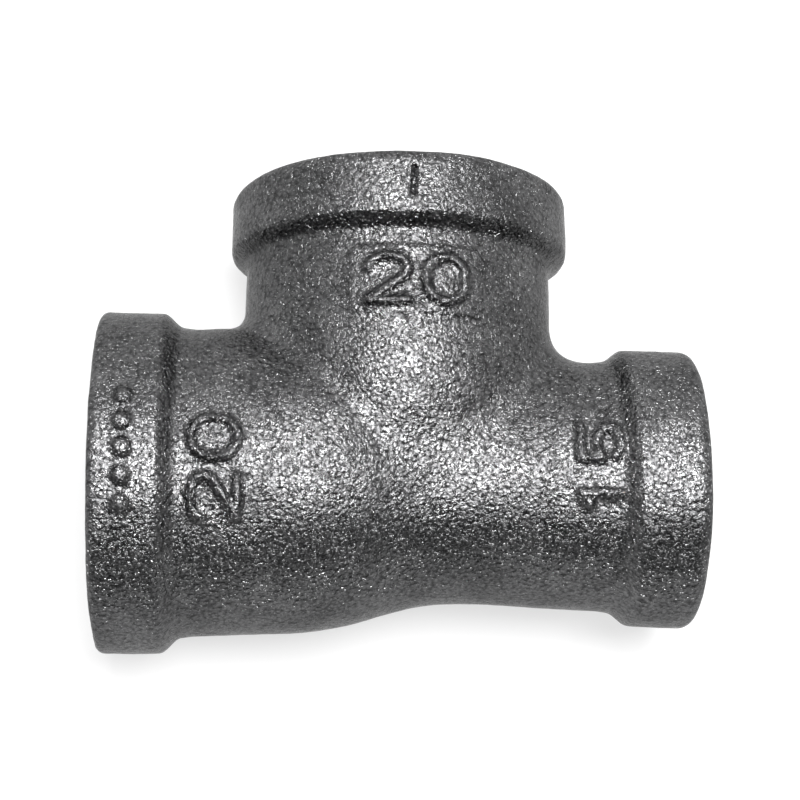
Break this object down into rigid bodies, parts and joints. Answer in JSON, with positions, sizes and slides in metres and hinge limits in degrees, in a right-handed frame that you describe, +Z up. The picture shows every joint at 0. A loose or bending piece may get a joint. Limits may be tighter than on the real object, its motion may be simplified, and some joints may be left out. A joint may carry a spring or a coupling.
{
  "type": "threaded reducing tee",
  "caption": "Banded malleable-iron pipe tee that joins two larger threaded outlets at a right angle and one smaller in-line outlet.",
  "frame": {"origin": "on the ground under the middle of the outline, with the fitting lying on its back", "axes": "+X along the run toward the smaller outlet, +Y along the branch toward its outlet, +Z up, on the side with the raised marks"},
  "size_m": [0.0644, 0.0508, 0.0377],
  "materials": {
    "black_iron": "as-cast, dark oxide, semi-gloss, coarse grain"
  },
  "bodies": {
    "root": {"tee_casting": "black_iron"}
  },
  "joints": []
}
